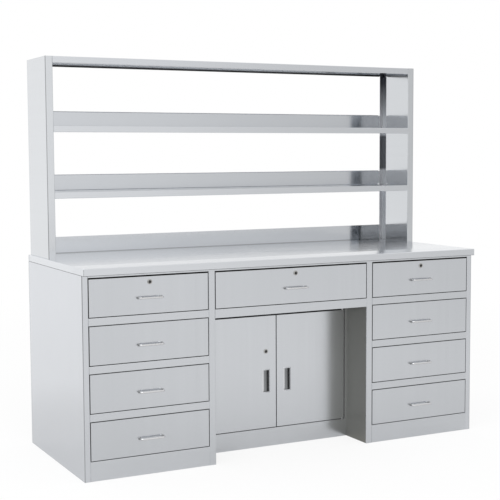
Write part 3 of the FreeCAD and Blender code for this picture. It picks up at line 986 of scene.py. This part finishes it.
@dataclass
class RecessedPull:
    """Pressed rectangular cup with a thin rim that lies on the door."""

    rim: float = 2.5 * MM
    wall: float = 0.8 * MM
    depth: float = 13.0 * MM
    rounding: float = 0.96 * MM
    round_steps: int = 3
    sharp: float = 0.5

    def build(self, door: str, wardrobe: Wardrobe) -> bpy.types.Object:
        """Makes one door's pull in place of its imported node.

        Args:
            door: name of the door, which is also its body.
            wardrobe: source of the finishes.

        Returns:
            The new piece.
        """
        low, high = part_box(door + "_pull")
        middle = (low + high) / 2
        width, height = high.x - low.x, high.z - low.z
        work = bmesh.new()
        lie = Matrix.Translation((middle.x, low.y, middle.z)) @ Matrix.Rotation(math.pi / 2, 4, "X")
        bmesh.ops.create_grid(work, x_segments=1, y_segments=1, size=0.5,
                              matrix=lie @ Matrix.Diagonal((width, height, 1.0, 1.0)))
        face = work.faces[:][0]
        bmesh.ops.inset_region(work, faces=[face], thickness=self.rim + self.wall, depth=0.0,
                               use_even_offset=True)
        sunk = bmesh.ops.extrude_face_region(work, geom=[face])["geom"]
        floor_verts = [item for item in sunk if isinstance(item, bmesh.types.BMVert)]
        bmesh.ops.delete(work, geom=[face], context="FACES_ONLY")
        bmesh.ops.translate(work, verts=floor_verts, vec=(0, self.depth, 0))
        folds = [edge for edge in work.edges
                 if len(edge.link_faces) == 2 and edge.calc_face_angle(0.0) > self.sharp]
        bevelled(work, folds, self.rounding, self.round_steps)
        bmesh.ops.recalc_face_normals(work, faces=work.faces)
        if sum(face.normal.y * face.calc_area() for face in work.faces) > 0:
            bmesh.ops.reverse_faces(work, faces=work.faces)
        bmesh.ops.solidify(work, geom=work.faces[:], thickness=self.wall)
        across = work.verts.layers.float.new("across")
        for vert in work.verts:
            vert[across] = (vert.co.x - low.x) / width
        piece = finished_piece(door + "_cup_pull", work)
        wardrobe.dress_piece(piece, "cup")
        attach(piece, door)
        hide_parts(door + "_pull")
        return piece


@dataclass
class Rack:
    """Open reagent rack that stands along the back of the worktop."""

    posts: tuple[str, ...] = ("rack_left_side", "rack_right_side")
    shelves: tuple[str, ...] = ("rack_upper_shelf", "rack_lower_shelf")
    canopy: str = "rack_top"

    def dress(self, wardrobe: Wardrobe) -> None:
        """Dresses the end posts and the decks.

        Args:
            wardrobe: source of the finishes.
        """
        for node in self.posts:
            wardrobe.dress_node(node, "post")
        for node in self.shelves:
            wardrobe.dress_node(node, "shelf")
        wardrobe.dress_node(self.canopy, "canopy")


@dataclass
class Carcass:
    """Fixed sheet work under and around the drawers."""

    finishes: dict[str, str] = field(default_factory=lambda: {
        "worktop": "worktop",
        "worktop_board": "board",
        "left_outer_side": "side",
        "right_outer_side": "side",
        "left_inner_side": "inner_side",
        "right_inner_side": "inner_side",
        "pedestal_base_trays": "rail",
        "drawer_rails": "rail",
        "front_top_rail": "rail",
        "centre_drawer_pan": "rail",
        "back_panel": "inner",
        "runner_channels": "inner",
    })

    def dress(self, wardrobe: Wardrobe) -> None:
        """Dresses each sheet of the carcass."""
        for node, finish in self.finishes.items():
            wardrobe.dress_node(node, finish)


@dataclass
class Drawer:
    """One drawer: folded front, box, bow handle and, in the top row, a lock."""

    name: str
    locked: bool
    handle: BowHandle = field(default_factory=BowHandle)
    lock: CamLock = field(default_factory=CamLock)

    def build(self, wardrobe: Wardrobe) -> None:
        """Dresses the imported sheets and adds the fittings.

        Args:
            wardrobe: source of the finishes.
        """
        wardrobe.dress_front(self.name + "_front", "front")
        wardrobe.dress_node(self.name + "_box", "inner")
        LOG.info("built %s", self.handle.build(self.name, wardrobe).name)
        if self.locked:
            LOG.info("built %s", self.lock.build(self.name, wardrobe).name)
            wardrobe.dress_node(self.name + "_lock_plug", "keyway")


@dataclass
class Cupboard:
    """Kneehole cupboard with two doors on pivots."""

    finishes: dict[str, str] = field(default_factory=lambda: {
        "cupboard_frame": "door",
        "cupboard_floor": "inner",
        "cupboard_shelf": "inner",
        "door_pivots": "fitting",
        "left_door_panel": "door",
        "right_door_panel": "door",
        "left_door_lock_plug": "keyway",
    })
    pull: RecessedPull = field(default_factory=RecessedPull)
    lock: CamLock = field(default_factory=CamLock)

    def build(self, wardrobe: Wardrobe) -> None:
        """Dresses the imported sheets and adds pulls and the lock.

        Args:
            wardrobe: source of the finishes.
        """
        for node, finish in self.finishes.items():
            wardrobe.dress_node(node, finish)
        for door in ("left_door", "right_door"):
            LOG.info("built %s", self.pull.build(door, wardrobe).name)
        LOG.info("built %s", self.lock.build("left_door", wardrobe).name)


@dataclass
class Studio:
    """White sweep and a pale room that is darker where its open side lies.

    Compass directions are in degrees: 0 lies to the right of the cabinet, 90 behind it and -90 in
    front of it. Heights of the room are shares of a unit direction, from -1 straight down to 1
    straight up.
    """

    floor_size: float = 28.0
    floor_level: float = 0.98
    matt_share: float = 0.15
    mirrored_matt_share: float = 0.4
    near_reach: float = 3.0
    far_reach: float = 5.0
    contact_start: float = 0.1
    contact_reach: float = 1.2
    contact_depth: float = 0.25
    near_floor: Tones = ((-180, 0.86), (-140, 0.83), (-90, 0.82), (-66, 0.82), (-50, 0.78), (-30, 0.74),
                         (0, 0.80), (60, 0.96), (100, 0.97), (130, 0.93), (180, 0.86))
    far_floor: Tones = ((-180, 0.84), (-165, 0.78), (-150, 0.45), (-140, 0.20), (-112, 0.20), (-101, 0.50),
                        (-90, 0.86), (-75, 0.84), (-66, 0.825), (-60, 0.79), (-56, 0.76), (-50, 0.73),
                        (-30, 0.68), (0, 0.78), (40, 0.95), (90, 1.0), (118, 0.98), (130, 0.93), (180, 0.84))
    walls: Tones = ((-180, 0.90), (-135, 0.95), (-105, 0.95), (-90, 1.0), (-75, 0.99), (-66, 0.86),
                    (-60, 0.75), (-56, 0.71), (-50, 0.67), (-30, 0.62), (0, 0.78), (40, 0.95), (90, 1.0),
                    (112, 1.0), (124, 0.93), (140, 0.88), (180, 0.90))
    surroundings: float = 0.9
    ceiling: float = 0.95
    ceiling_foot: float = 0.3
    ceiling_rise: float = 0.4
    corner: float = 0.04
    corner_turn: float = -122.0
    corner_width: float = 24.0
    corner_fade: float = 8.0
    corner_foot: float = 0.05
    corner_foot_fade: float = 0.03
    corner_top: float = 0.35
    corner_top_fade: float = 0.1
    skirting: float = 0.40
    skirting_height: float = -0.014
    skirting_half: float = 0.018
    skirting_fade: float = 0.008
    lamp_size: tuple[float, float] = (3.0, 2.0)
    lamp_power: float = 45.0
    lamp_place: tuple[float, float, float] = (-1.5, -1.8, 4.2)
    lamp_target: tuple[float, float, float] = (0.0, 0.0, 0.8)

    def build(self) -> None:
        """Makes the floor, the world and the lamp."""
        self._floor()
        LOG.info("built the floor")
        self._world()
        LOG.info("built the room")
        self._lamp()
        LOG.info("built the lamp")
        bpy.context.scene.view_settings.view_transform = "Standard"

    @staticmethod
    def _tone(turn: Signal, tones: Tones) -> Socket:
        """Grey of the room in one compass direction.

        Args:
            turn: compass direction from zero to one.
            tones: angle in degrees and grey, in order of angle.

        Returns:
            The colour socket of the grey.
        """
        return turn.shader.toned(turn, [(angle / 360 + 0.5, grey(level)) for angle, level in tones])

    @staticmethod
    def _turn(shader: Shader, x: Signal, y: Signal) -> Signal:
        """Compass direction of a place, from zero to one."""
        return shader.maths("ARCTAN2", y, x) / (2 * math.pi) + 0.5

    @staticmethod
    def _rays(shader: Shader) -> tuple[Signal, Signal]:
        """Tells direct sight and mirrored sight apart.

        Args:
            shader: tree that gets the nodes.

        Returns:
            One for camera rays, and one for mirror and glass rays that aren't camera rays.
        """
        path = shader.node("ShaderNodeLightPath")
        camera = Signal(shader, path.outputs["Is Camera Ray"])
        mirror = Signal(shader, path.outputs["Is Glossy Ray"])
        glass = Signal(shader, path.outputs["Is Transmission Ray"])
        return camera, shader.fenced(mirror + glass) * (1.0 - camera)

    def _floor(self) -> None:
        """White floor that still catches the cabinet's shadow."""
        work = bmesh.new()
        bmesh.ops.create_grid(work, x_segments=1, y_segments=1, size=self.floor_size / 2)
        floor = finished_piece("studio_floor", work)
        material, shader = started_material("studio_floor")
        camera, mirror = self._rays(shader)
        x, y, _ = shader.parts(shader.object_place())
        # Painted contact shadow near the cabinet's foot, seen in mirrors.
        contact = self._contact_share(shader, x, y)
        reach = (x * x + y * y) ** 0.5
        near = shader.fenced((self.far_reach - reach) / (self.far_reach - self.near_reach))
        turn = self._turn(shader, x, y)
        tone = shader.mixed(near, self._tone(turn, self.far_floor), self._tone(turn, self.near_floor))
        tone = shader.dimmed(tone, 1.0 - contact * self.contact_depth)
        # The floor glows though it is no lamp: plain white to the camera, the room's greys to mirrors.
        glow = shader.node("ShaderNodeEmission", None, {"Color": shader.mixed(camera, tone, WHITE)})
        matt = shader.node("ShaderNodeBsdfDiffuse", None, {"Color": _opaque(grey(self.floor_level))})
        share = camera * (1.0 - near * self.matt_share) + mirror * (1.0 - contact * self.mirrored_matt_share)
        inputs = {0: share, 1: matt.outputs[0], 2: glow.outputs[0]}
        shader.surface(shader.node("ShaderNodeMixShader", None, inputs))
        floor.data.materials.append(material)

    def _contact_share(self, shader: Shader, x: Signal, y: Signal) -> Signal:
        """One at the cabinet's foot and zero away from it.

        Args:
            shader: tree that gets the nodes.
            x: place across the floor.
            y: place along the floor.

        Returns:
            The share of the darker floor.
        """
        past_x = shader.maths("MAXIMUM", shader.maths("ABSOLUTE", x) - CAD_HIGH.x, 0.0)
        past_y = shader.maths("MAXIMUM", shader.maths("ABSOLUTE", y) - CAD_HIGH.y, 0.0)
        away = (past_x * past_x + past_y * past_y) ** 0.5
        return shader.fenced(1.0 - (away - self.contact_start) / self.contact_reach)

    def _world(self) -> None:
        """White seen directly, the room when mirrored, a little less than white as a light."""
        world = bpy.data.worlds.new("studio")
        bpy.context.scene.world = world
        world.use_nodes = True
        shader = Shader(world.node_tree)
        camera, mirror = self._rays(shader)
        x, y, z = shader.parts(shader.object_place())
        turn = self._turn(shader, x, y)
        room = self._tone(turn, self.walls)
        corner, skirting = self._corner_shares(shader, turn, z)
        room = shader.mixed(corner, room, grey(self.corner))
        room = shader.mixed(skirting, room, grey(self.skirting))
        overhead = shader.fenced((z - self.ceiling_foot) / self.ceiling_rise)
        room = shader.mixed(overhead, room, grey(self.ceiling))
        seen = shader.mixed(mirror, grey(self.surroundings), room)
        sky = shader.node("ShaderNodeBackground", None, {"Color": shader.mixed(camera, seen, WHITE)})
        shader.node("ShaderNodeOutputWorld", None, {"Surface": sky.outputs[0]})

    def _corner_shares(self, shader: Shader, turn: Signal, z: Signal) -> tuple[Signal, Signal]:
        """Dark corner of the room and the skirting below it.

        Args:
            shader: tree that gets the nodes.
            turn: compass direction from zero to one.
            z: height of the direction.

        Returns:
            The share of the corner and the share of the skirting.
        """
        off = shader.maths("ABSOLUTE", turn * 360.0 - 180.0 - self.corner_turn)
        sideways = shader.fenced((self.corner_width - off) / self.corner_fade)
        above = shader.fenced((z - self.corner_foot) / self.corner_foot_fade)
        below = shader.fenced((self.corner_top - z) / self.corner_top_fade)
        from_line = shader.maths("ABSOLUTE", z - self.skirting_height)
        line = shader.fenced((self.skirting_half - from_line) / self.skirting_fade)
        return sideways * (above * below), sideways * line

    def _lamp(self) -> None:
        """One broad lamp above the front left."""
        data = bpy.data.lights.new("broad_lamp", "AREA")
        data.shape = "RECTANGLE"
        data.size, data.size_y = self.lamp_size
        data.energy = self.lamp_power
        lamp = bpy.data.objects.new("broad_lamp", data)
        bpy.context.scene.collection.objects.link(lamp)
        lamp.location = self.lamp_place
        aim = Vector(self.lamp_target) - Vector(self.lamp_place)
        lamp.rotation_euler = aim.to_track_quat("-Z", "Y").to_euler()


@dataclass
class Viewpoint:
    """Camera of the main view, with its turns in radians and its sensor in millimetres."""

    place: Vector = field(default_factory=lambda: Vector((-2.27004, -4.38055, 1.23314)))
    heading: float = 0.473035
    pitch: float = -0.084071
    roll: float = -0.004924
    lens_in_widths: float = 2.295144
    sensor: float = 36.0

    def build(self) -> None:
        """Makes the camera."""
        ahead = Vector((math.sin(self.heading) * math.cos(self.pitch),
                        math.cos(self.heading) * math.cos(self.pitch), math.sin(self.pitch)))
        level = Vector((math.cos(self.heading), -math.sin(self.heading), 0.0))
        over = level.cross(ahead)
        right = level * math.cos(self.roll) + over * math.sin(self.roll)
        up = over * math.cos(self.roll) - level * math.sin(self.roll)
        data = bpy.data.cameras.new("main_camera")
        data.sensor_width = self.sensor
        data.lens = self.lens_in_widths * self.sensor
        camera = bpy.data.objects.new("main_camera", data)
        bpy.context.scene.collection.objects.link(camera)
        turn = Matrix((right, up, -ahead)).transposed().to_4x4()
        camera.matrix_world = Matrix.Translation(self.place) @ turn
        bpy.context.scene.camera = camera


def drawer_names(rows: int = 4) -> list[str]:
    """Names of all drawers.

    Args:
        rows: drawers in each pedestal.

    Returns:
        The middle drawer, then each pedestal from the top down.
    """
    sides = ("left", "right")
    return ["centre_drawer"] + [f"{side}_drawer_{row + 1}" for side in sides for row in range(rows)]


def main() -> None:
    """Builds the cabinet, its studio and its camera."""
    logging.basicConfig(level=logging.INFO, format="%(name)s: %(message)s")
    wardrobe = Wardrobe(Palette())
    Viewpoint().build()
    LOG.info("built the camera")
    Studio().build()
    Carcass().dress(wardrobe)
    Rack().dress(wardrobe)
    for name in drawer_names():
        Drawer(name, locked=name.startswith("centre") or name.endswith("_1")).build(wardrobe)
    Cupboard().build(wardrobe)


if __name__ == "__main__":
    main()
